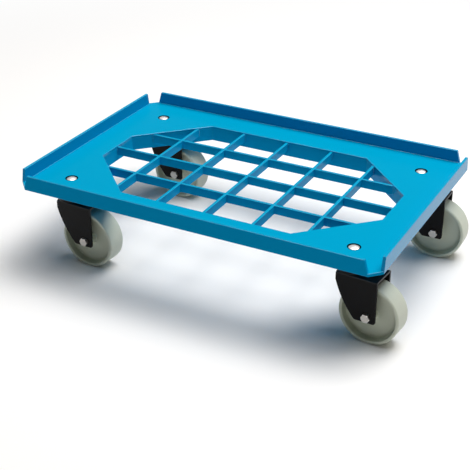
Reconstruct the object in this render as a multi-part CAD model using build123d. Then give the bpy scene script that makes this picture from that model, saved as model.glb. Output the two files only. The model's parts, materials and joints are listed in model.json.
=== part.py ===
from build123d import *
import math
import os

# Platform dolly: a blue steel tray deck with a barred window, carried by four swivel casters.
# Millimetres, +Z up, +X along the long side, -Y the front. The origin is the middle of the deck's
# upper surface, so the deck lies below z = 0 and the wheels stand on the floor far below it.

# Deck sheet
deck_length = 640.0
deck_width = 430.0
sheet = 5.0
flange_rise = 21.5
corner_cut = 18.5
long_flange_slope = 6.0
short_flange_slope = 4.0
bend_inside = 1.0
bend_outside = 1.5
edge_round = 1.2

# Window in the deck, the frame under its rim and the bars across it
window_border = 60.5
window_corner = 107.0
frame_depth = 22.5
frame_wall = 5.0
bar_wall = 5.0
bar_depth = 15.0
bar_drop = 2.0
cross_bars = 5
long_bars = 3
lap_clearance = 0.1
bar_edge_round = 0.8

# King bolts, which hold the casters to the deck
caster_inset = 66.0
king_radius = 5.0
king_clearance = 0.25
king_head_radius = 8.2
king_head_gap = 2.3
king_head_rise = 1.5
king_dome = 2.2
king_nut_flats = 17.0
king_nut_height = 8.0
king_tail = 3.0
boss_radius = 25.5
boss_height = 10.0

# Swivel bearing
head_plate = 8.0
spigot_wall = 2.5
running_clearance = 0.08
race_land = 5.0
race_rim = 1.5
groove_depth = 1.2
ball_radius = 3.5
ball_count = 12
ball_seat_gap = 0.05
ball_head_gap = 0.3
dome_rise = 7.0
dome_plate = 4.0
dome_draft = 1.5
dome_wall = 3.0
skirt_gap = 0.8
skirt_wall = 2.0
skirt_lift = 0.8
thrust_play = 0.3
thrust_washer = 2.5
thrust_radius = 12.5

# Wheel and axle
wheel_radius = 50.0
wheel_width = 35.0
tread_round = 2.5
rim_edge = 2.5
dish_depth = 11.5
dish_draft = 2.0
dish_round = 1.0
hub_radius = 11.5
bush_wall = 2.0
bush_clearance = 0.06
sleeve_wall = 2.0
axle_radius = 4.0
axle_clearance = 0.15
axle_flats = 13.0
axle_head_height = 5.3
axle_nut_height = 8.0
axle_nut_collar = 2.0
axle_tail = 3.0
hex_chamfer = 0.8
thread_chamfer = 1.0
thread_clearance = 0.08

# Fork
fork_sheet = 3.0
fork_bend = 3.5
fork_side_gap = 3.0
fork_crown_gap = 11.0
hub_play = 0.5
trail = 37.5
fork_front = 16.5
fork_shoulder = 13.0
fork_tail = 14.5
fork_foot = 9.5
fork_foot_front = 20.5
fork_bulge = 3.7
fork_corner = 4.0

# Where each caster trails at rest, in degrees from +X seen from above
front_left_angle = -3.0
front_right_angle = -4.5
rear_left_angle = -2.5
rear_right_angle = 1.0

# Each caster's side of the deck along X and Y, and its angle
CASTERS = {
    "front_left": (-1, -1, front_left_angle),
    "front_right": (1, -1, front_right_angle),
    "rear_left": (-1, 1, rear_left_angle),
    "rear_right": (1, 1, rear_right_angle),
}

# Sizes that follow the deck's edges
window_length = deck_length - 2 * window_border
window_width = deck_width - 2 * window_border
king_x = deck_length / 2 - caster_inset
king_y = deck_width / 2 - caster_inset

# Levels, from the deck's upper surface down
deck_bottom = -sheet
boss_bottom = deck_bottom - boss_height
head_bottom = boss_bottom - head_plate
race_gap = 2 * ball_radius + ball_seat_gap + ball_head_gap - 2 * groove_depth
dome_top = head_bottom - race_gap
ball_level = head_bottom + groove_depth - ball_head_gap - ball_radius
dome_bottom = dome_top - dome_plate
crown_top = dome_top - dome_rise
crown_bottom = crown_top - fork_sheet
washer_top = dome_bottom - thrust_play
washer_bottom = washer_top - thrust_washer
king_end = washer_bottom - king_nut_height - king_tail
axle_level = crown_bottom - fork_crown_gap - wheel_radius
foot_level = axle_level - fork_foot

# Radii about the king bolt, and half widths across the fork
king_bore = king_radius + king_clearance
king_recess = king_head_radius + king_head_gap
spigot_radius = king_bore + spigot_wall
fork_bore = spigot_radius + running_clearance
track_radius = spigot_radius + race_land + ball_radius
dome_radius = track_radius + ball_radius + race_rim
dome_foot = dome_radius + dome_draft
skirt_radius = dome_foot + skirt_gap + skirt_wall
half_gap = wheel_width / 2 + fork_side_gap
half_fork = half_gap + fork_sheet
half_hub = half_gap - hub_play
sleeve_bore = axle_radius + axle_clearance
sleeve_radius = sleeve_bore + sleeve_wall
bush_bore = sleeve_radius + bush_clearance
bush_radius = bush_bore + bush_wall


def prism(points, low, high):
    """A straight-sided solid over a closed outline in X and Y."""
    outline = make_face(Polyline(*points, close=True))
    return extrude(Pos(0, 0, low) * outline, amount=high - low)


def block(x, y, z):
    """A box given by its two limits along each axis."""
    middle = Pos(sum(x) / 2, sum(y) / 2, sum(z) / 2)
    return middle * Box(x[1] - x[0], y[1] - y[0], z[1] - z[0])


def drum(radius, low, high):
    """A plain cylinder about Z between two levels."""
    return Pos(0, 0, (low + high) / 2) * Cylinder(radius, high - low)


def tube(inner, outer, low, high):
    """A round sleeve about Z between two levels."""
    return drum(outer, low, high) - drum(inner, low, high)


def section(points):
    """A flat outline drawn as distance from the middle against level."""
    return make_face(Polyline(*points, close=True))


def turned(outline):
    """A solid turned about Z from a section."""
    return revolve(Plane.XZ * outline, Axis.Z)


def hexagon(flats, low, high):
    """A hexagon about Z whose corners are turned off at both ends."""
    corner = flats / math.sqrt(3)
    barrel = drum(corner, low, high)
    rounds = barrel.edges().filter_by(GeomType.CIRCLE)
    sides = extrude(Pos(0, 0, low) * RegularPolygon(corner, 6), amount=high - low)
    return sides & chamfer(rounds, hex_chamfer)


def octagon(length, width, cut):
    """Corners of a rectangle with its corners cut off, anticlockwise from the front right."""
    x = length / 2
    y = width / 2
    return [
        (x, cut - y), (x, y - cut), (x - cut, y), (cut - x, y),
        (-x, y - cut), (-x, cut - y), (cut - x, -y), (x - cut, -y),
    ]


def king_places():
    """Places of the four king bolts on the deck."""
    return [Pos(side_x * king_x, side_y * king_y) for side_x, side_y, _ in CASTERS.values()]


def save(name, shape):
    """Writes one sub-part, a single solid or a group of separate solids."""
    export_step(shape, os.path.join("parts", name + ".step"))


window = octagon(window_length, window_width, window_corner)


# Deck sheet: flat, with a flange turned up along each side, cut corners and a window in the middle
def deck_pan():
    pan = prism(octagon(deck_length, deck_width, corner_cut), deck_bottom, 0)
    under = pan.faces().sort_by(Axis.Z)[0]
    pan = fillet([e for e in under.edges() if is_side(e)], bend_outside)
    upper = pan.faces().sort_by(Axis.Z)[-1]
    pan = fillet([e for e in upper.edges() if not is_side(e)], edge_round)
    pan -= prism(window, deck_bottom, 0)
    rim = pan.faces().sort_by(Axis.Z)[-1].inner_wires()[0]
    pan = fillet(rim.edges(), edge_round)
    for place in king_places():
        pan -= place * drum(king_recess, deck_bottom, 0)

    for length, reach, slope, turn in (
        (deck_length, deck_width, long_flange_slope, 0),
        (deck_width, deck_length, short_flange_slope, 90),
    ):
        foot = length / 2 - corner_cut
        tip = foot - slope
        outline = section([
            (-foot, -edge_round), (foot, -edge_round), (foot, 0),
            (tip, flange_rise), (-tip, flange_rise), (-foot, 0),
        ])
        flange = extrude(Plane.XZ * outline, amount=sheet / 2, both=True)
        for end in (-1, 1):
            pan += Rot(0, 0, turn) * Pos(0, end * (reach - sheet) / 2) * flange

    floor = pan.faces().filter_by(Plane.XY).sort_by(SortBy.AREA)[-2:].sort_by(Axis.Z)[-1]
    pan = fillet([e for e in floor.outer_wire().edges() if is_side(e)], bend_inside)
    return fillet(pan.edges().group_by(Axis.Z)[-1], edge_round)


def is_side(edge):
    """Whether an edge of the deck runs along a whole side and not round a corner."""
    return edge.length > 2 * corner_cut


# Eight flat bars on edge under the window's rim, mitred where they meet
def window_frame():
    names = ("right", "rear_right", "rear", "rear_left", "left", "front_left", "front", "front_right")
    outer = moved_out(window, frame_wall)
    for i, name in enumerate(names):
        j = (i + 1) % len(names)
        bar = [window[i], outer[i], outer[j], window[j]]
        save("window_frame_" + name, prism(bar, deck_bottom - frame_depth, deck_bottom))


def moved_out(corners, wall):
    """The corners of an outline with every side moved outwards by the wall."""
    up = Vector(0, 0, 1)
    moved = []
    for i, corner in enumerate(corners):
        here = Vector(*corner)
        before = (here - Vector(*corners[i - 1])).cross(up).normalized()
        after = (Vector(*corners[(i + 1) % len(corners)]) - here).cross(up).normalized()
        there = here + (before + after) * (wall / (1 + before.dot(after)))
        moved.append((there.X, there.Y))
    return moved


# Bars on edge across the window. They are notched half through where they cross: the cross bars from
# below and the long bars from above, so the tops of the cross bars run through unbroken
def grid_bars():
    top = -bar_drop
    low = top - bar_depth
    lap = (top + low) / 2
    half = bar_wall / 2
    notch = half + lap_clearance
    reach_x = window_length / 2
    reach_y = window_width / 2
    opening = prism(window, low, top)
    columns = [reach_x * (2 * (i + 1) / (cross_bars + 1) - 1) for i in range(cross_bars)]
    rows = [reach_y * (2 * (i + 1) / (long_bars + 1) - 1) for i in range(long_bars)]

    for i, x in enumerate(columns):
        bar = rounded_bar(block((x - half, x + half), (-reach_y, reach_y), (low, top)), Axis.Y)
        for y in rows:
            bar -= block((x - bar_wall, x + bar_wall), (y - notch, y + notch), (low, lap))
        save(f"cross_bar_{i + 1}", bar & opening)
    for i, y in enumerate(rows):
        bar = rounded_bar(block((-reach_x, reach_x), (y - half, y + half), (low, top)), Axis.X)
        for x in columns:
            bar -= block((x - notch, x + notch), (y - bar_wall, y + bar_wall), (lap, top))
        save(f"long_bar_{i + 1}", bar & opening)


def rounded_bar(bar, along):
    """Rounds the two upper edges of a bar."""
    return fillet(bar.edges().filter_by(along).group_by(Axis.Z)[-1], bar_edge_round)


# King bolts with low domed heads standing in holes in the deck, and the washer and nut that hold each fork on
def king_fasteners():
    sphere = (king_head_radius ** 2 + king_dome ** 2) / (2 * king_dome)
    head = drum(king_head_radius, deck_bottom, king_head_rise)
    head &= Pos(0, 0, king_head_rise - sphere) * Sphere(sphere)
    shank = drum(king_radius, king_end, deck_bottom)
    shank = chamfer(shank.edges().group_by(Axis.Z)[0], thread_chamfer)
    washer = tube(king_bore, thrust_radius, washer_bottom, washer_top)
    nut_bottom = washer_bottom - king_nut_height
    nut = hexagon(king_nut_flats, nut_bottom, washer_bottom)
    nut -= drum(king_radius + thread_clearance, nut_bottom, washer_bottom)
    for name, piece in (("king_bolts", head + shank), ("king_washers", washer), ("king_nuts", nut)):
        save(name, Compound([place * piece for place in king_places()]))


# Upper half of the swivel bearing: a plate with a ball groove, a skirt that keeps dirt out and the
# spigot that the fork turns on
def swivel_head():
    skirt_inside = skirt_radius - skirt_wall
    skirt_bottom = crown_top + skirt_lift
    outline = section([
        (king_bore, boss_bottom), (skirt_radius, boss_bottom),
        (skirt_radius, skirt_bottom), (skirt_inside, skirt_bottom),
        (skirt_inside, head_bottom), (spigot_radius, head_bottom),
        (spigot_radius, washer_top), (king_bore, washer_top),
    ])
    shoulder = outline.vertices().group_by(Axis.Y)[-1].sort_by(Axis.X)[-1]
    head = turned(fillet(shoulder, skirt_wall))
    return head - Pos(0, 0, ball_level) * Torus(track_radius, ball_radius + ball_head_gap)


def swivel_balls():
    places = PolarLocations(track_radius, ball_count)
    return [place * Pos(0, 0, ball_level) * Sphere(ball_radius) for place in places]


# Fork: sheet folded over the wheel, with a raised dome in its crown that carries the lower ball race
def fork():
    back = trail + fork_tail
    body = fork_channel(back) & extrude(Plane.XZ * fork_side(back), amount=half_fork, both=True)
    nose = Circle(half_fork) & Pos(-fork_front - half_fork) * Rectangle(2 * half_fork, 2 * half_fork)
    body += extrude(Pos(0, 0, crown_bottom) * nose, amount=fork_sheet)
    body -= drum(dome_foot - dome_wall, crown_bottom, crown_top)
    dome = turned(section([
        (fork_bore, dome_top), (dome_radius, dome_top), (dome_foot, crown_top),
        (dome_foot, crown_bottom), (dome_foot - dome_wall, crown_bottom),
        (dome_radius - dome_wall, dome_bottom), (fork_bore, dome_bottom),
    ]))
    body += dome - Pos(0, 0, ball_level) * Torus(track_radius, ball_radius + ball_seat_gap)
    return body - on_axle(drum(sleeve_bore, -half_fork, half_fork))


def fork_channel(back):
    """The folded sheet before its sides are trimmed: two legs and the crown between them."""
    outer = block((-fork_front, back), (-half_fork, half_fork), (foot_level, crown_top))
    inner = block((-fork_front, back), (-half_gap, half_gap), (foot_level, crown_bottom))
    outer = fillet(outer.edges().filter_by(Axis.X).group_by(Axis.Z)[-1], fork_bend)
    inner = fillet(inner.edges().filter_by(Axis.X).group_by(Axis.Z)[-1], fork_bend - fork_sheet)
    return outer - inner


def fork_side(back):
    """The outline of the fork seen from its side, drawn as distance behind the king bolt and level."""
    shoulder = (-fork_front, crown_top - fork_shoulder)
    toe = (trail - fork_foot_front, foot_level)
    lead = SagittaArc(shoulder, toe, -fork_bulge)
    rest = Polyline(toe, (back, foot_level), (back, crown_top), (-fork_front, crown_top), shoulder)
    outline = make_face([lead.edge(), *rest.edges()])
    return fillet(outline.vertices().group_by(Axis.Y)[0], fork_corner)


def on_axle(shape):
    """Moves a piece made about Z onto the axle, with its upper end on the bolt head's side."""
    return Pos(trail, 0, axle_level) * Rot(90, 0, 0) * shape


# Axle: a bolt through both legs, a sleeve that it clamps between them, and a lock nut
def axle_bolt():
    end = -half_fork - axle_nut_height - axle_nut_collar - axle_tail
    shank = drum(axle_radius, end, half_fork)
    shank = chamfer(shank.edges().group_by(Axis.Z)[0], thread_chamfer)
    return on_axle(hexagon(axle_flats, half_fork, half_fork + axle_head_height) + shank)


def axle_nut():
    low = -half_fork - axle_nut_height
    end = low - axle_nut_collar
    collar = drum(axle_flats / 2 - hex_chamfer, end, low)
    collar = fillet(collar.edges().group_by(Axis.Z)[0], axle_nut_collar / 2)
    nut = hexagon(axle_flats, low, -half_fork) + collar
    return on_axle(nut - drum(axle_radius + thread_clearance, end, -half_fork))


def axle_sleeve():
    return on_axle(tube(sleeve_bore, sleeve_radius, -half_gap, half_gap))


# Wheel: solid nylon with a rounded tread, dished sides and a hub round a plain bearing bush
def wheel():
    half = wheel_width / 2
    web = half - dish_depth
    dish_top = wheel_radius - tread_round - rim_edge
    dish_foot = dish_top - dish_draft
    outline = section([
        (bush_radius, -half_hub), (hub_radius, -half_hub), (hub_radius, -web),
        (dish_foot, -web), (dish_top, -half), (wheel_radius, -half),
        (wheel_radius, half), (dish_top, half), (dish_foot, web),
        (hub_radius, web), (hub_radius, half_hub), (bush_radius, half_hub),
    ])
    rings = outline.vertices().group_by(Axis.X)
    outline = fillet(rings[-1], tread_round)
    rings = outline.vertices().group_by(Axis.X)
    hub_and_dish = rings[1] + rings[2] + rings[3]
    return on_axle(turned(fillet(hub_and_dish, dish_round)))


def wheel_bush():
    return on_axle(tube(bush_bore, bush_radius, -half_hub, half_hub))


os.makedirs("parts", exist_ok=True)
save("deck_pan", deck_pan())
window_frame()
grid_bars()
king_fasteners()

pieces = {
    "mounting_boss": tube(king_bore, boss_radius, boss_bottom, deck_bottom),
    "swivel_head": swivel_head(),
    "swivel_balls": swivel_balls(),
    "fork": fork(),
    "axle_bolt": axle_bolt(),
    "axle_nut": axle_nut(),
    "axle_sleeve": axle_sleeve(),
    "wheel": wheel(),
    "wheel_bush": wheel_bush(),
}
for place, (corner, (_, _, heading)) in zip(king_places(), CASTERS.items()):
    turn = place * Rot(0, 0, heading)
    for name, piece in pieces.items():
        group = isinstance(piece, list)
        save(f"{name}_{corner}", Compound([turn * one for one in piece]) if group else turn * piece)
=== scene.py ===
import bpy
import json
import math
from mathutils import Matrix, Vector


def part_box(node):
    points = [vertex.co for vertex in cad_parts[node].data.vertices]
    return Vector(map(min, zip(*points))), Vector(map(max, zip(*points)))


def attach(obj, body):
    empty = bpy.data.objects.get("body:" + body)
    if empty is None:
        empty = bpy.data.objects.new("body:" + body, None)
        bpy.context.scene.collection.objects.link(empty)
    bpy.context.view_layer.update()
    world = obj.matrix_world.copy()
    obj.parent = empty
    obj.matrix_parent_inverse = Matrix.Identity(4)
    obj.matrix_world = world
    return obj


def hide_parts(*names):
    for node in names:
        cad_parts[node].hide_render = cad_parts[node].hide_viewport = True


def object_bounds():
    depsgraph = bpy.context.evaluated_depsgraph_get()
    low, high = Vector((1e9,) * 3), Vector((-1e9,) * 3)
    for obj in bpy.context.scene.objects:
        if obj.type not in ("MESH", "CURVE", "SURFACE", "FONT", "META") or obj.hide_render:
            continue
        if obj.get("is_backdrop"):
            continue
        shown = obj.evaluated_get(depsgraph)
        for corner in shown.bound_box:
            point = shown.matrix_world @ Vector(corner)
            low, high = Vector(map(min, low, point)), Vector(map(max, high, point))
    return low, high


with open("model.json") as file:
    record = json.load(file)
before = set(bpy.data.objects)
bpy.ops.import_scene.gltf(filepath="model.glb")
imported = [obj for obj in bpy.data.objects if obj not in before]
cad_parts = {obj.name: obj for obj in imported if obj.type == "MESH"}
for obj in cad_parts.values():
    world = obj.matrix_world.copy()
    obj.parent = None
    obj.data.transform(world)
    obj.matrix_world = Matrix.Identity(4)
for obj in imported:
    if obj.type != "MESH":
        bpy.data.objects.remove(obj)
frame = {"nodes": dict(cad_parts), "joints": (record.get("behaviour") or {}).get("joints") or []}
cad_low, cad_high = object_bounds()


# Deck pan: one steel sheet of 5 mm with its four edges folded up and its corners cut off.
# It is powder coated in light blue once the frame and the bars are welded to it, so the coat lies
# over every weld and edge with a faint orange peel and a soft gloss.
def feed(tree, socket, term):
    """Feeds a socket from another node's socket, or sets it to a plain value."""
    if isinstance(term, bpy.types.NodeSocket):
        tree.links.new(term, socket)
    else:
        socket.default_value = term


def add_node(tree, kind, at, **settings):
    """Adds a node. A setting feeds the input of that name, with _ for a space, or is a property."""
    made = tree.nodes.new(kind)
    made.location = at
    for name, value in settings.items():
        label = name.replace("_", " ")
        if label in made.inputs:
            feed(tree, made.inputs[label], value)
        else:
            setattr(made, name, value)
    return made


def maths(tree, at, operation, *terms, **settings):
    """Works on numbers and other nodes' sockets, and gives the socket of the result."""
    made = add_node(tree, "ShaderNodeMath", at, operation=operation, **settings)
    for socket, term in zip(made.inputs, terms):
        feed(tree, socket, term)
    return made.outputs[0]


def vector_maths(tree, at, operation, *terms):
    """Works on vectors and other nodes' sockets, and gives the socket of the result."""
    made = add_node(tree, "ShaderNodeVectorMath", at, operation=operation)
    for socket, term in zip(made.inputs, terms):
        feed(tree, socket, term)
    gives_number = operation in ("DOT_PRODUCT", "DISTANCE", "LENGTH")
    return made.outputs["Value" if gives_number else "Vector"]


def ramp(tree, at, value, low, high, bottom=0.0, top=1.0, **settings):
    """Goes from bottom to top while a value goes from low to high, and stays level beyond them."""
    made = add_node(tree, "ShaderNodeMapRange", at, **settings, Value=value,
                    From_Min=low, From_Max=high, To_Min=bottom, To_Max=top)
    return made.outputs["Result"]


def cloudy(tree, at, size, detail, roughness):
    """Soft noise on the object's own coordinates, in patches of about one size."""
    x, y = at
    place = add_node(tree, "ShaderNodeTexCoord", (x - 400, y))
    scale = maths(tree, (x - 200, y), "DIVIDE", 1.0, size)
    noise = add_node(tree, "ShaderNodeTexNoise", at, Vector=place.outputs["Object"], Scale=scale,
                     Detail=detail, Roughness=roughness)
    return noise.outputs["Fac"]


def upward(tree, at):
    """How far the surface looks up, from -1 to 1."""
    x, y = at
    face = add_node(tree, "ShaderNodeNewGeometry", (x - 200, y))
    split = add_node(tree, "ShaderNodeSeparateXYZ", at, Vector=face.outputs["Normal"])
    return split.outputs["Z"]


def effect(name, inputs, outputs):
    """A shader node group with named numbers going in and out, and the sockets of its two ends."""
    group = bpy.data.node_groups.new(name, "ShaderNodeTree")
    for socket, value in inputs.items():
        made = group.interface.new_socket(socket, in_out="INPUT", socket_type="NodeSocketFloat")
        made.default_value = value
    for socket in outputs:
        group.interface.new_socket(socket, in_out="OUTPUT", socket_type="NodeSocketFloat")
    start = add_node(group, "NodeGroupInput", (-1100, 0))
    end = add_node(group, "NodeGroupOutput", (500, 0))
    return group, start.outputs, end.inputs


# Orange peel of a sprayed or baked coat: fine dimples, and broad patches where it lies thicker
peel_group, given, wanted = effect(
    "orange_peel", {"Dimple size": 0.002, "Patch size": 0.15}, ("Height", "Patch"),
)
dimples = cloudy(peel_group, (0, 150), given["Dimple size"], detail=1.5, roughness=0.5)
patches = cloudy(peel_group, (0, -150), given["Patch size"], detail=3.0, roughness=0.5)
feed(peel_group, wanted["Height"], dimples)
feed(peel_group, wanted["Patch"], patches)

# Rubbed edges: where the surface turns sharply the coat is thinner and has been polished by handling.
# A place is sharp where its face and the normal of a rounded edge no longer agree.
edge_group, given, wanted = effect("rubbed_edges", {"Reach": 0.0012, "Breakup size": 0.02}, ("Mask",))
flat_agreement = 0.998
sharp_agreement = 0.90
least_wear = 0.35
full_wear = 0.65
rounding = add_node(edge_group, "ShaderNodeBevel", (-700, 150), samples=4, Radius=given["Reach"])
face = add_node(edge_group, "ShaderNodeNewGeometry", (-700, -20))
agreement = vector_maths(edge_group, (-480, 100), "DOT_PRODUCT",
                         rounding.outputs["Normal"], face.outputs["True Normal"])
sharp = ramp(edge_group, (-260, 100), agreement, low=flat_agreement, high=sharp_agreement)
breakup = cloudy(edge_group, (-480, -250), given["Breakup size"], detail=4.0, roughness=0.6)
worn = ramp(edge_group, (-260, -250), breakup, low=least_wear, high=full_wear)
feed(edge_group, wanted["Mask"], maths(edge_group, (0, 0), "MULTIPLY", sharp, worn))

# Bent edges: folds and rounded edges are the only places where these flat and upright sheets lean,
# and there the melted coat draws tight and shines. At 45 degrees rise times run is a quarter.
bend_group, given, wanted = effect("bent_edges", {}, ("Mask",))
full_lean = 0.25
height = upward(bend_group, (-700, 0))
rise = maths(bend_group, (-500, 0), "MULTIPLY", height, height)
run = maths(bend_group, (-300, -150), "SUBTRACT", 1.0, rise)
lean = maths(bend_group, (-100, 0), "MULTIPLY", rise, run)
feed(bend_group, wanted["Mask"], maths(bend_group, (100, 0), "DIVIDE", lean, full_lean, use_clamp=True))

# Faces that look up: loads and hands dull them, a thin pale dust settles there in uneven drifts, and the
# coats give them a painted lit tone
upward_group, given, wanted = effect(
    "upward_faces", {"Drift size": 0.05, "Cover": 0.1}, ("Facing up", "Dust"),
)
steepest_dulled = 0.5
bare_drift = 0.4
full_drift = 0.8
height = upward(upward_group, (-700, 200))
level = ramp(upward_group, (-480, 200), height, low=steepest_dulled, high=1.0)
drifts = cloudy(upward_group, (-480, -200), given["Drift size"], detail=6.0, roughness=0.65)
drift = ramp(upward_group, (-260, -200), drifts, low=bare_drift, high=full_drift)
lying = maths(upward_group, (0, 0), "MULTIPLY", level, drift)
feed(upward_group, wanted["Facing up"], level)
feed(upward_group, wanted["Dust"], maths(upward_group, (220, 0), "MULTIPLY", lying, given["Cover"]))


def finish_named(name):
    """A new material with its node tree and its Principled shader."""
    made = bpy.data.materials.new(name)
    made.use_nodes = True
    tree = made.node_tree
    return made, tree, tree.nodes["Principled BSDF"]


def placed(tree, group, at, **values):
    """Places one of the shared effects in a material with its own values, and gives its outputs."""
    return add_node(tree, "ShaderNodeGroup", at, node_tree=group, **values).outputs


def tinted(tree, at, mask, under, over):
    """Mixes two tones by a mask; each may be a colour or another node's socket."""
    mix = add_node(tree, "ShaderNodeMix", at, data_type="RGBA", Factor=mask, A=under, B=over)
    return mix.outputs["Result"]


gloss_swing = 0.05


def uneven_gloss(tree, surface, patch, roughness):
    """Lets the roughness wander a little either side of a middle value, by a patchy mask."""
    sheen = ramp(tree, (-400, -100), patch, low=0.0, high=1.0,
                 bottom=roughness - gloss_swing, top=roughness + gloss_swing)
    feed(tree, surface.inputs["Roughness"], sheen)


def raised(tree, surface, height, strength, depth):
    """Lets the light show a fine relief of a given depth."""
    relief = add_node(tree, "ShaderNodeBump", (-200, -300), Strength=strength, Distance=depth, Height=height)
    feed(tree, surface.inputs["Normal"], relief.outputs["Normal"])


settled_dust = (0.55, 0.53, 0.5, 1.0)


def coat(name, colour, thick, lit_top, rubbed, roughness, specular, gloss, slant, edge_gloss, bump, dust=0.0):
    """A baked or sprayed coat on steel: its colour, where it is thick or rubbed, and a painted lit tone on
    faces that look up.

    Faces that look up are dull. The others gleam where they are seen at a slant, which begins and is
    full at two values between 0, straight on, and 1, edge on. Bent edges shine from everywhere."""
    made, tree, surface = finish_named(name)
    peel = placed(tree, peel_group, (-1000, 0), Dimple_size=0.0016, Patch_size=0.12)
    edge = placed(tree, edge_group, (-1000, -250), Reach=0.0012, Breakup_size=0.03)
    above = placed(tree, upward_group, (-1000, -450), Drift_size=0.06, Cover=dust)
    bend = placed(tree, bend_group, (-1000, -650))
    # Painted light: faces that look up get the lit tone and upright faces the deeper one, by how the light
    # falls on them
    side_tone = tinted(tree, (-800, 200), peel["Patch"], colour, thick)
    lit_top_tone = tinted(tree, (-800, 400), peel["Patch"], *lit_top)
    tone = tinted(tree, (-600, 200), above["Facing up"], side_tone, lit_top_tone)
    tone = tinted(tree, (-400, 200), edge["Mask"], tone, rubbed)
    tone = tinted(tree, (-200, 200), above["Dust"], tone, settled_dust)
    feed(tree, surface.inputs["Base Color"], tone)
    uneven_gloss(tree, surface, peel["Patch"], roughness)
    raised(tree, surface, peel["Height"], strength=bump, depth=0.0002)
    view = add_node(tree, "ShaderNodeLayerWeight", (-800, -850), Blend=0.5)
    gleam = ramp(tree, (-600, -850), view.outputs["Facing"], *slant, top=gloss)
    fresh = maths(tree, (-600, -1100), "SUBTRACT", 1.0, above["Facing up"])
    gleam = maths(tree, (-400, -850), "MULTIPLY", gleam, fresh)
    shine = maths(tree, (-600, -650), "MULTIPLY", bend["Mask"], edge_gloss)
    feed(tree, surface.inputs["Coat Weight"], maths(tree, (-200, -700), "MAXIMUM", gleam, shine))
    surface.inputs["Coat Roughness"].default_value = 0.15
    surface.inputs["Coat IOR"].default_value = 1.9
    surface.inputs["Specular IOR Level"].default_value = specular
    return made


def dress(name, finish):
    """Gives a CAD node its finish."""
    mesh = frame["nodes"][name].data
    mesh.materials.clear()
    mesh.materials.append(finish)


blue = (0.0, 0.290, 0.575, 1.0)
thick_blue = (0.0, 0.304, 0.600, 1.0)
# Painted light: the second pair of blues goes on faces that look up, lighter and greener as if lit from
# above, while upright faces keep the deeper blue that stands in for shade
lit_top_blues = ((0.0, 0.312, 0.520, 1.0), (0.0, 0.326, 0.542, 1.0))
rubbed_blue = (0.01, 0.40, 0.66, 1.0)
deck_coat = coat(
    "blue_deck_coat", blue, thick_blue, lit_top_blues, rubbed_blue,
    roughness=0.30, specular=0.005, gloss=0.58, slant=(0.30, 0.60), edge_gloss=0.5, bump=0.10,
)
dress("deck_pan", deck_coat)


# Window frame: eight flat bars on edge under the rim of the window, mitred at the corners.
# They stiffen the sheet round the opening and are tacked to its underside with short runs of weld
# along their outer side. Powder reaches such inside faces less well, so here the coat is more matt.
def geometry_tree(name, inputs):
    """A Geometry Nodes tree with named inputs, and the sockets of its two ends."""
    tree = bpy.data.node_groups.new(name, "GeometryNodeTree")
    tree.interface.new_socket("Geometry", in_out="INPUT", socket_type="NodeSocketGeometry")
    tree.interface.new_socket("Geometry", in_out="OUTPUT", socket_type="NodeSocketGeometry")
    for socket, kind in inputs.items():
        tree.interface.new_socket(socket, in_out="INPUT", socket_type="NodeSocket" + kind)
    start = add_node(tree, "NodeGroupInput", (-1100, 0))
    end = add_node(tree, "NodeGroupOutput", (900, 0))
    return tree, start.outputs, end.inputs


def grown(name, points, edges, tree, body, slot, **values):
    """Runs a Geometry Nodes tree on a few points or lines and keeps the result as a plain mesh."""
    start = bpy.data.meshes.new(name + "_path")
    start.from_pydata(points, edges, [])
    made = bpy.data.objects.new(name, start)
    bpy.context.scene.collection.objects.link(made)
    growth = made.modifiers.new(tree.name, "NODES")
    growth.node_group = tree
    for item in tree.interface.items_tree:
        if item.item_type == "SOCKET" and item.in_out == "INPUT" and item.name in values:
            growth[item.identifier] = values[item.name]
    ready = made.evaluated_get(bpy.context.evaluated_depsgraph_get())
    result = bpy.data.meshes.new_from_object(ready)
    result.materials.clear()
    result.materials.append(values["Finish"])
    made.modifiers.remove(growth)
    made.data = result
    bpy.data.meshes.remove(start)
    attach(made, body)


# One run of weld: overlapping ripples set along a line, each a flattened bead of slightly uneven size
weld_tree, given, wanted = geometry_tree(
    "weld_run", {"Ripple": "Float", "Leg": "Float", "Seed": "Int", "Finish": "Material"},
)
bead_shape = (1.0, 1.0, 0.62)
smallest_bead = 0.86
largest_bead = 1.12
line = add_node(weld_tree, "GeometryNodeMeshToCurve", (-900, 100), Mesh=given["Geometry"])
spots = add_node(weld_tree, "GeometryNodeCurveToPoints", (-700, 100), mode="LENGTH",
                 Curve=line.outputs["Curve"], Length=given["Ripple"])
ball = add_node(weld_tree, "GeometryNodeMeshUVSphere", (-900, -150), Radius=1.0, Segments=8, Rings=6)
bead = add_node(weld_tree, "GeometryNodeTransform", (-700, -150),
                Geometry=ball.outputs["Mesh"], Scale=bead_shape)
uneven = add_node(weld_tree, "FunctionNodeRandomValue", (-700, -350), data_type="FLOAT", Seed=given["Seed"])
uneven.inputs[2].default_value = smallest_bead
uneven.inputs[3].default_value = largest_bead
leg = maths(weld_tree, (-500, -350), "MULTIPLY", uneven.outputs[1], given["Leg"])
beads = add_node(weld_tree, "GeometryNodeInstanceOnPoints", (-250, 0), Points=spots.outputs["Points"],
                 Instance=bead.outputs["Geometry"], Rotation=spots.outputs["Rotation"], Scale=leg)
solid = add_node(weld_tree, "GeometryNodeRealizeInstances", (0, 0), Geometry=beads.outputs["Instances"])
smooth = add_node(weld_tree, "GeometryNodeSetShadeSmooth", (200, 0), Geometry=solid.outputs["Geometry"])
coated = add_node(weld_tree, "GeometryNodeSetMaterial", (450, 0),
                  Geometry=smooth.outputs["Geometry"], Material=given["Finish"])
feed(weld_tree, wanted["Geometry"], coated.outputs["Geometry"])

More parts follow.
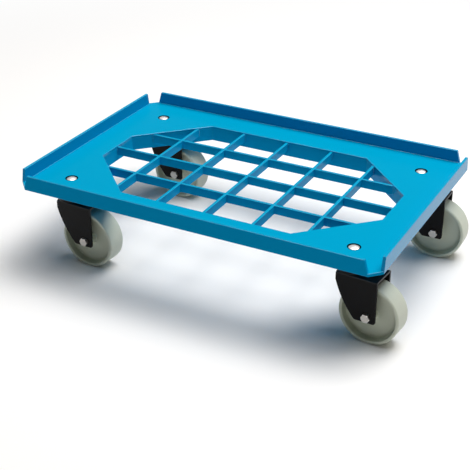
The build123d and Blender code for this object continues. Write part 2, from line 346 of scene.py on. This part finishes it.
inner_coat = coat(
    "blue_inner_coat", blue, thick_blue, lit_top_blues, rubbed_blue,
    roughness=0.38, specular=0.01, gloss=0.26, slant=(0.50, 0.70), edge_gloss=0.4, bump=0.14,
)
CORNERS = ("front_left", "front_right", "rear_left", "rear_right")
for side in ("front", "rear", "left", "right") + CORNERS:
    dress("window_frame_" + side, inner_coat)

deck_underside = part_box("deck_pan")[0].z
long_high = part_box("window_frame_rear")[1]
short_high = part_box("window_frame_right")[1]
quarter = [(short_high.x, short_high.y), (long_high.x, long_high.y)]
frame_corners = quarter + [(-x, y) for x, y in reversed(quarter)]
frame_corners += [(-x, -y) for x, y in frame_corners]
weld_length = 0.026
weld_pitch = 0.075
deck_ripple = 0.0017
deck_leg = 0.0022
points = []
for i, corner in enumerate(frame_corners):
    start = Vector((*corner, deck_underside))
    along = Vector((*frame_corners[(i + 1) % len(frame_corners)], deck_underside)) - start
    reach = along.normalized() * weld_length / 2
    welds = round(along.length / weld_pitch)
    for weld in range(welds):
        middle = start + along * ((weld + 0.5) / welds)
        points += [middle - reach, middle + reach]
edges = [(i, i + 1) for i in range(0, len(points), 2)]
grown("frame_welds", points, edges, weld_tree, "deck", "blue_paint",
      Ripple=deck_ripple, Leg=deck_leg, Seed=3, Finish=inner_coat)


# Grid bars: flat steel bars on edge, notched into each other where they cross. The cross bars run
# through on top. Each end is welded to the frame down both of its sides.
bars = [node for node in frame["nodes"] if node.startswith(("cross_bar_", "long_bar_"))]
bar_low, bar_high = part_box("long_bar_2")
half_length = bar_high.x
half_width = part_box("cross_bar_3")[1].y
frame_wall = short_high.x - half_length
corner_reach = half_length + short_high.y - frame_wall * math.tan(math.pi / 8)
below_deck = 0.0005
above_foot = 0.0020
bar_ripple = 0.0012
bar_leg = 0.0013
weld_top = deck_underside - below_deck
weld_bottom = bar_low.z + above_foot
points = []
for bar in bars:
    dress(bar, inner_coat)
    for end in (-1, 1):
        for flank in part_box(bar):
            if bar.startswith("cross_bar_"):
                x = flank.x
                y = end * min(half_width, corner_reach - abs(x))
            else:
                y = flank.y
                x = end * min(half_length, corner_reach - abs(y))
            points += [(x, y, weld_top), (x, y, weld_bottom)]
edges = [(i, i + 1) for i in range(0, len(points), 2)]
grown("bar_welds", points, edges, weld_tree, "deck", "blue_paint",
      Ripple=bar_ripple, Leg=bar_leg, Seed=7, Finish=inner_coat)


# Mounting bosses and king bolts: a turned steel spacer is welded under the deck at each corner, and
# a zinc-plated bolt with a low domed head goes down through it and holds the caster with a nut.
bright_edge = (0.9, 0.9, 0.88, 1.0)


def plated(name, colour, haze, roughness):
    """Zinc or another plain metal, with faint cloudy patches and fine turning marks."""
    made, tree, surface = finish_named(name)
    peel = placed(tree, peel_group, (-900, 0), Dimple_size=0.0007, Patch_size=0.008)
    edge = placed(tree, edge_group, (-900, -250), Reach=0.0006, Breakup_size=0.01)
    tone = tinted(tree, (-600, 200), peel["Patch"], colour, haze)
    tone = tinted(tree, (-400, 200), edge["Mask"], tone, bright_edge)
    feed(tree, surface.inputs["Base Color"], tone)
    uneven_gloss(tree, surface, peel["Patch"], roughness)
    raised(tree, surface, peel["Height"], strength=0.08, depth=0.0001)
    surface.inputs["Metallic"].default_value = 1.0
    return made


zinc = plated("bright_zinc", (0.62, 0.58, 0.53, 1.0), (0.52, 0.50, 0.47, 1.0), 0.30)
satin_zinc = plated("satin_zinc", (0.60, 0.58, 0.56, 1.0), (0.52, 0.51, 0.50, 1.0), 0.32)
for corner in CORNERS:
    dress("mounting_boss_" + corner, inner_coat)
dress("king_bolts", satin_zinc)
for node in ("king_washers", "king_nuts"):
    dress(node, zinc)

# Painted shade: a ring in the deck's holes round the bolt heads is painted nearly black, where the narrow
# gap lies in shade. The four holes mirror each other, so the distance is taken from one of them with all
# signs dropped.
hole_shade_tone = (0.006, 0.010, 0.014, 1.0)
shade_reach = 0.0003
shade_blur = 0.0001
joints = {joint["name"]: joint for joint in frame["joints"]}
king_place = Vector(joints["swivel_rear_right"]["pos_m"])
pan_points = frame["nodes"]["deck_pan"].data.vertices
hole_edge = min((vertex.co.xy - king_place.xy).length for vertex in pan_points)
tree = deck_coat.node_tree
surface = tree.nodes["Principled BSDF"]
place = add_node(tree, "ShaderNodeTexCoord", (-1400, 600))
mirrored = vector_maths(tree, (-1200, 600), "ABSOLUTE", place.outputs["Object"])
level = vector_maths(tree, (-1000, 600), "MULTIPLY", mirrored, (1.0, 1.0, 0.0))
away = vector_maths(tree, (-800, 600), "DISTANCE", level, (king_place.x, king_place.y, 0.0))
hole_shade_mask = ramp(tree, (-600, 600), away,
             low=hole_edge + shade_reach + shade_blur, high=hole_edge + shade_reach - shade_blur)
unshaded_tone = surface.inputs["Base Color"].links[0].from_socket
feed(tree, surface.inputs["Base Color"], tinted(tree, (-100, 400), hole_shade_mask, unshaded_tone, hole_shade_tone))

# Three short welds hold each boss to the sheet
boss_welds = 3
weld_start = math.radians(30)
weld_sweep = math.radians(44)
weld_steps = 8
points = []
for corner in CORNERS:
    boss_low, boss_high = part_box("mounting_boss_" + corner)
    middle = (boss_low + boss_high) / 2
    radius = (boss_high.x - boss_low.x) / 2
    for weld in range(boss_welds):
        for step in range(weld_steps + 1):
            angle = weld_start + 2 * math.pi * weld / boss_welds + weld_sweep * (step / weld_steps - 0.5)
            x = middle.x + radius * math.cos(angle)
            y = middle.y + radius * math.sin(angle)
            points.append((x, y, deck_underside))
edges = [(i - 1, i) for i in range(len(points)) if i % (weld_steps + 1)]
grown("boss_welds", points, edges, weld_tree, "deck", "blue_paint",
      Ripple=deck_ripple, Leg=deck_leg, Seed=11, Finish=inner_coat)

# Rolled thread: a low ridge wound round the end of a bolt
thread_tree, given, wanted = geometry_tree(
    "rolled_thread",
    {"Radius": "Float", "Pitch": "Float", "Length": "Float", "Ridge": "Float", "Turn": "Vector",
     "Finish": "Material"},
)
turns = maths(thread_tree, (-900, 200), "DIVIDE", given["Length"], given["Pitch"])
winding = add_node(thread_tree, "GeometryNodeCurveSpiral", (-700, 100), Resolution=32, Rotations=turns,
                   Start_Radius=given["Radius"], End_Radius=given["Radius"], Height=given["Length"])
ridge = add_node(thread_tree, "GeometryNodeCurvePrimitiveCircle", (-700, -200),
                 Resolution=6, Radius=given["Ridge"])
thread = add_node(thread_tree, "GeometryNodeCurveToMesh", (-450, 0), Curve=winding.outputs["Curve"],
                  Profile_Curve=ridge.outputs["Curve"], Fill_Caps=True)
aim = add_node(thread_tree, "FunctionNodeEulerToRotation", (-450, -300), Euler=given["Turn"])
threads = add_node(thread_tree, "GeometryNodeInstanceOnPoints", (-200, 0), Points=given["Geometry"],
                   Instance=thread.outputs["Mesh"], Rotation=aim.outputs["Rotation"])
solid = add_node(thread_tree, "GeometryNodeRealizeInstances", (50, 0), Geometry=threads.outputs["Instances"])
plated_over = add_node(thread_tree, "GeometryNodeSetMaterial", (300, 0),
                       Geometry=solid.outputs["Geometry"], Material=given["Finish"])
feed(thread_tree, wanted["Geometry"], plated_over.outputs["Geometry"])

thread_lead = 0.0010
king_thread = 0.0049
king_pitch = 0.0015
king_ridge = 0.00042
king_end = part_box("king_bolts")[0].z + thread_lead
king_nut_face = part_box("king_nuts")[0].z
places = [joints["swivel_" + corner]["pos_m"] for corner in CORNERS]
grown("king_threads", [(x, y, king_end) for x, y, _ in places], [], thread_tree, "deck", "zinc_steel",
      Radius=king_thread, Pitch=king_pitch, Length=king_nut_face - king_end, Ridge=king_ridge,
      Turn=(0.0, 0.0, 0.0), Finish=zinc)


# Swivel bearing: a pressed head with a ball groove under each boss, and a ring of hardened balls
# that runs between it and the fork's crown. The head is coated black with the fork.
# The black coat is painted a little lighter on faces that look up, standing in for the light from above
black_coat = coat(
    "black_coat",
    colour=(0.0065, 0.0062, 0.0064, 1.0), thick=(0.0080, 0.0076, 0.0078, 1.0),
    lit_top=((0.0090, 0.0088, 0.0090, 1.0), (0.0110, 0.0107, 0.0110, 1.0)), rubbed=(0.030, 0.029, 0.030, 1.0),
    roughness=0.55, specular=0.10, gloss=0.25, slant=(0.30, 0.60), edge_gloss=0.25, bump=0.10, dust=0.008,
)
ball_steel = plated("ball_steel", (0.66, 0.66, 0.66, 1.0), (0.60, 0.60, 0.60, 1.0), 0.14)
for corner in CORNERS:
    dress("swivel_head_" + corner, black_coat)
    dress("swivel_balls_" + corner, ball_steel)


# Forks: 3 mm sheet folded over the wheel and pressed up into a dome at the crown, coated in satin
# black. The nut on the king bolt holds each one up against its bearing.
for corner in CORNERS:
    dress("fork_" + corner, black_coat)


# Axles: a zinc-plated hexagon bolt through both legs with a lock nut on the far side, and a steel
# sleeve between the legs that keeps the fork from pinching the wheel. A nylon ring in the end of
# the nut grips the thread.
def axle_frame(corner):
    """Where the axle lies: its middle, with Z towards the bolt's head and X away from the swivel."""
    roll = joints["roll_" + corner]
    out = -Vector(roll["axis"])
    back = Vector((0, 0, 1)).cross(out)
    turn = Matrix((back, out.cross(back), out)).transposed().to_4x4()
    return Matrix.Translation(roll["pos_m"]) @ turn


def end_on_axle(node, corner):
    """How far a node reaches along its axle on the nut's side, from the middle of the wheel."""
    inward = axle_frame(corner).inverted()
    return min((inward @ vertex.co).z for vertex in frame["nodes"][node].data.vertices)


def turned(name, outline, rings, where, finish, body):
    """A closed outline of distance and height turned about Z into a ring, then put in its place."""
    count = len(outline)
    points = []
    faces = []
    for ring in range(rings):
        angle = 2 * math.pi * ring / rings
        points += [where @ Vector((r * math.cos(angle), r * math.sin(angle), z)) for r, z in outline]
        here = ring * count
        there = (ring + 1) % rings * count
        for i in range(count):
            j = (i + 1) % count
            faces.append((here + i, there + i, there + j, here + j))
    mesh = bpy.data.meshes.new(name)
    mesh.from_pydata(points, [], faces)
    mesh.polygons.foreach_set("use_smooth", [True] * len(faces))
    mesh.materials.append(finish)
    made = bpy.data.objects.new(name, mesh)
    bpy.context.scene.collection.objects.link(made)
    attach(made, body)
    return made


ring_tone = (0.62, 0.62, 0.58, 1.0)
milky_ring_tone = (0.70, 0.70, 0.66, 1.0)
ring_nylon, tree, surface = finish_named("insert_nylon")
peel = placed(tree, peel_group, (-900, 0), Dimple_size=0.0004, Patch_size=0.003)
tone = tinted(tree, (-600, 200), peel["Patch"], ring_tone, milky_ring_tone)
feed(tree, surface.inputs["Base Color"], tone)
uneven_gloss(tree, surface, peel["Patch"], 0.50)
raised(tree, surface, peel["Height"], strength=0.10, depth=0.0001)

axle_thread = 0.0039
axle_pitch = 0.00125
axle_ridge = 0.00036
insert_bore = 0.0042
insert_radius = 0.0051
insert_proud = 0.0002
insert_round = 0.00015
insert_rings = 48
for corner in CORNERS:
    for piece in ("axle_bolt_", "axle_nut_", "axle_sleeve_"):
        dress(piece + corner, zinc)
    axle = axle_frame(corner)
    nut_end = end_on_axle("axle_nut_" + corner, corner)
    bolt_end = end_on_axle("axle_bolt_" + corner, corner) + thread_lead
    grown("axle_thread_" + corner, [axle @ Vector((0, 0, bolt_end))], [], thread_tree,
          "swivel_" + corner, "zinc_steel",
          Radius=axle_thread, Pitch=axle_pitch, Length=nut_end - bolt_end, Ridge=axle_ridge,
          Turn=tuple(axle.to_euler()), Finish=zinc)
    low = nut_end - insert_proud
    high = nut_end + insert_proud
    turned(
        "nut_insert_" + corner,
        [(insert_bore, high), (insert_bore, low + insert_round), (insert_bore + insert_round, low),
         (insert_radius - insert_round, low), (insert_radius, low + insert_round), (insert_radius, high)],
        insert_rings, axle, ring_nylon, "swivel_" + corner,
    )


# Wheels: solid cast nylon in a pale grey with a green cast, deeply dished on both sides, with a
# rounded tread and the mould's parting line round its middle. Each turns on a bronze bush pressed
# into its hub.
wheel_radius = 0.04999
wheel_half = 0.0175
tread_round = 0.0025
dish_top = 0.0450
dish_foot = 0.0430
dish_round = 0.0010
web_half = 0.0060
hub_radius = 0.0115
hub_half = 0.0200
bush_seat = 0.00821
seam_half = 0.0003
seam_rise = 0.00007
wheel_rings = 144
round_steps = 6

nylon_tone = (0.590, 0.632, 0.505, 1.0)
milky_tone = (0.645, 0.682, 0.560, 1.0)
rubbed_tone = (0.74, 0.76, 0.66, 1.0)
scuffed_tone = (0.40, 0.41, 0.40, 1.0)
# The next tone is painted shade for the walls and feet of the dishes
dish_shade_tone = (0.26, 0.29, 0.20, 1.0)
scuff_inner = 0.0488
scuff_outer = 0.0498
scuff_strength = 0.35
dish_mouth = wheel_half - 0.0010
dish_inside = wheel_half - 0.0030
dish_shade_start = dish_foot - 0.0070
dish_shade_full = dish_foot + 0.0005
rim_unshaded = dish_top + 0.0008
rim_shaded = dish_top + 0.0004
dish_shade_strength = 0.6
tool_ring_pitch = 0.0014
tool_ring_relief = 0.12


def nylon(corner):
    """Moulded nylon, cloudy in the mass, with faint tool rings, a scuffed tread and painted shade in its
    dishes.
    """
    made, tree, surface = finish_named("wheel_nylon_" + corner)
    peel = placed(tree, peel_group, (-900, 0), Dimple_size=0.0009, Patch_size=0.03)
    edge = placed(tree, edge_group, (-900, -250), Reach=0.0015, Breakup_size=0.02)
    axle = axle_frame(corner)
    place = add_node(tree, "ShaderNodeTexCoord", (-1700, -500))
    about = add_node(tree, "ShaderNodeMapping", (-1500, -500), vector_type="TEXTURE",
                     Vector=place.outputs["Object"], Location=axle.translation, Rotation=axle.to_euler())
    across = vector_maths(tree, (-1300, -500), "MULTIPLY", about.outputs["Vector"], (1.0, 1.0, 0.0))
    radius = vector_maths(tree, (-1100, -500), "LENGTH", across)
    along = add_node(tree, "ShaderNodeSeparateXYZ", (-1300, -1000), Vector=about.outputs["Vector"])
    depth = maths(tree, (-1100, -1000), "ABSOLUTE", along.outputs["Z"])

    # The tread is scuffed in patches
    tread = ramp(tree, (-900, -500), radius, low=scuff_inner, high=scuff_outer)
    scuff = maths(tree, (-700, -500), "MULTIPLY", tread, peel["Patch"])
    scuff = maths(tree, (-500, -500), "MULTIPLY", scuff, scuff_strength)

    # Painted shade darkens each dish towards its foot and up its wall, and stops at the rim
    inside = ramp(tree, (-900, -1000), depth, low=dish_mouth, high=dish_inside)
    wall = ramp(tree, (-900, -1250), radius, low=dish_shade_start, high=dish_shade_full,
                top=dish_shade_strength, interpolation_type="SMOOTHSTEP")
    rim = ramp(tree, (-900, -1500), radius, low=rim_unshaded, high=rim_shaded)
    shaded_wall = maths(tree, (-700, -1250), "MULTIPLY", wall, rim)
    dish_shade = maths(tree, (-500, -1100), "MULTIPLY", inside, shaded_wall)

    # The turned mould leaves faint rings
    rings = maths(tree, (-900, -750), "MULTIPLY", radius, 2 * math.pi / tool_ring_pitch)
    rings = maths(tree, (-700, -750), "SINE", rings)
    relief = maths(tree, (-500, -750), "MULTIPLY_ADD", rings, tool_ring_relief, peel["Height"])
    raised(tree, surface, relief, strength=0.10, depth=0.0002)

    tone = tinted(tree, (-600, 200), peel["Patch"], nylon_tone, milky_tone)
    tone = tinted(tree, (-400, 200), edge["Mask"], tone, rubbed_tone)
    tone = tinted(tree, (-200, 200), scuff, tone, scuffed_tone)
    tone = tinted(tree, (0, 200), dish_shade, tone, dish_shade_tone)
    feed(tree, surface.inputs["Base Color"], tone)
    uneven_gloss(tree, surface, peel["Patch"], 0.45)
    return made


def rounded(corners, steps):
    """A closed outline whose corners, given as distance, height and radius, are rounded.

    One more point close to each end of a rounding keeps the flats between them flat to the light."""
    flat_guard = 0.0003
    outline = []
    for i, (r, z, radius) in enumerate(corners):
        here = Vector((r, z))
        if not radius:
            outline.append(here)
            continue
        before = (Vector(corners[i - 1][:2]) - here).normalized()
        after = (Vector(corners[(i + 1) % len(corners)][:2]) - here).normalized()
        half = before.angle(after) / 2
        middle = here + (before + after).normalized() * radius / math.sin(half)
        reach = radius / math.tan(half)
        first = here + before * reach - middle
        last = here + after * reach - middle
        sweep = first.angle_signed(last)
        outline.append(here + before * (reach + flat_guard))
        for step in range(steps + 1):
            outline.append(middle + Matrix.Rotation(-sweep * step / steps, 2) @ first)
        outline.append(here + after * (reach + flat_guard))
    return [(point.x, point.y) for point in outline]


tread_radius = wheel_radius - seam_rise
near_side = [
    (bush_seat, -hub_half, 0.0), (hub_radius, -hub_half, dish_round), (hub_radius, -web_half, dish_round),
    (dish_foot, -web_half, dish_round), (dish_top, -wheel_half, dish_round),
    (tread_radius, -wheel_half, tread_round),
    (tread_radius, -3 * seam_half, 0.0), (tread_radius, -2 * seam_half, 0.0),
    (wheel_radius, -seam_half, 0.0),
]
far_side = [(r, -z, radius) for r, z, radius in reversed(near_side)]
wheel_outline = rounded(near_side + far_side, round_steps)
bronze = plated("bush_bronze", (0.55, 0.36, 0.19, 1.0), (0.46, 0.31, 0.17, 1.0), 0.35)
for corner in CORNERS:
    cast = turned("cast_wheel_" + corner, wheel_outline, wheel_rings, axle_frame(corner), nylon(corner),
                  "wheel_" + corner)
    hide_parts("wheel_" + corner)
    dress("wheel_bush_" + corner, bronze)


# Studio: a wide white floor under the wheels that bleaches out towards its edges, one soft box
# behind and to the right, a wider and weaker one straight overhead, dim air, and a camera where the
# photograph was taken from.
def shown_directly(tree):
    """A mask that is 1 where the camera sees the studio, by itself or in metal or through glass."""
    seen = add_node(tree, "ShaderNodeLightPath", (-900, 300)).outputs
    mirrored = maths(tree, (-700, 300), "MAXIMUM", seen["Is Camera Ray"], seen["Is Glossy Ray"])
    return maths(tree, (-500, 300), "MAXIMUM", mirrored, seen["Is Transmission Ray"])


floor_half = 12.0
floor_level = cad_low.z
floor_mesh = bpy.data.meshes.new("studio_floor")
floor_mesh.from_pydata(
    [(x * floor_half, y * floor_half, floor_level) for x, y in ((-1, -1), (1, -1), (1, 1), (-1, 1))],
    [], [(0, 1, 2, 3)],
)
floor = bpy.data.objects.new("studio_floor", floor_mesh)
bpy.context.scene.collection.objects.link(floor)
floor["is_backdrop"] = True

# The paper is a little paler to the eye than in the light that it throws back, it turns to plain
# white further out, and from below it is clear
paper_thrown = (0.90, 0.885, 0.87, 1.0)
paper_shown = (1.0, 0.98, 0.96, 1.0)
bleach_start = 0.8
bleach_end = 1.9
white, tree, surface = finish_named("studio_white")
tree.nodes.remove(surface)
shown = shown_directly(tree)
paper = tinted(tree, (-300, 200), shown, paper_thrown, paper_shown)
place = add_node(tree, "ShaderNodeTexCoord", (-1100, 600))
away = vector_maths(tree, (-900, 600), "LENGTH", place.outputs["Object"])
distant = ramp(tree, (-700, 600), away, low=bleach_start, high=bleach_end, interpolation_type="SMOOTHSTEP")
bleached = maths(tree, (-300, 500), "MULTIPLY", distant, shown)
spread = add_node(tree, "ShaderNodeBsdfDiffuse", (-100, 200), Color=paper)
haze = add_node(tree, "ShaderNodeEmission", (-100, 400))
sweep = add_node(tree, "ShaderNodeMixShader", (0, 300), Fac=bleached)
feed(tree, sweep.inputs[1], spread.outputs[0])
feed(tree, sweep.inputs[2], haze.outputs[0])
below = add_node(tree, "ShaderNodeNewGeometry", (-300, -100))
clear = add_node(tree, "ShaderNodeBsdfTransparent", (-100, 0))
either = add_node(tree, "ShaderNodeMixShader", (150, 100), Fac=below.outputs["Backfacing"])
feed(tree, either.inputs[1], sweep.outputs[0])
feed(tree, either.inputs[2], clear.outputs[0])
feed(tree, tree.nodes["Material Output"].inputs["Surface"], either.outputs[0])
floor_mesh.materials.append(white)

dim_air = (0.04, 0.04, 0.04, 1.0)
white_air = (1.0, 1.0, 1.0, 1.0)
world = bpy.data.worlds.new("studio_air")
bpy.context.scene.world = world
world.use_nodes = True
tree = world.node_tree
tone = tinted(tree, (-300, 100), shown_directly(tree), dim_air, white_air)
feed(tree, tree.nodes["Background"].inputs["Color"], tone)


def soft_box(name, at, toward, size, power):
    """A square area lamp turned towards a point."""
    lamp = bpy.data.lights.new(name, "AREA")
    lamp.shape = "SQUARE"
    lamp.size = size
    lamp.energy = power
    made = bpy.data.objects.new(name, lamp)
    made.location = at
    made.rotation_euler = (Vector(toward) - Vector(at)).to_track_quat("-Z", "Y").to_euler()
    bpy.context.scene.collection.objects.link(made)


lit_point = (0.0, 0.0, -0.1)
soft_box("key_box", at=(0.85, 1.06, 3.1), toward=lit_point, size=2.3, power=97.0)
soft_box("top_box", at=(0.0, 0.0, 3.4), toward=lit_point, size=3.0, power=72.0)

camera_place = (0.76339, -1.49304, 0.79396)
camera_right = Vector((0.88474, 0.46609, -0.0009))
camera_up = Vector((-0.22158, 0.42232, 0.87895))
camera_turn = Matrix((camera_right, camera_up, camera_right.cross(camera_up))).transposed().to_4x4()
lens = bpy.data.cameras.new("photo_camera")
lens.sensor_fit = "HORIZONTAL"
lens.sensor_width = 36.0
lens.lens = 84.339
camera = bpy.data.objects.new("photo_camera", lens)
camera.matrix_world = Matrix.Translation(camera_place) @ camera_turn
bpy.context.scene.collection.objects.link(camera)
bpy.context.scene.camera = camera
bpy.context.scene.view_settings.view_transform = "Standard"

low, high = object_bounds()
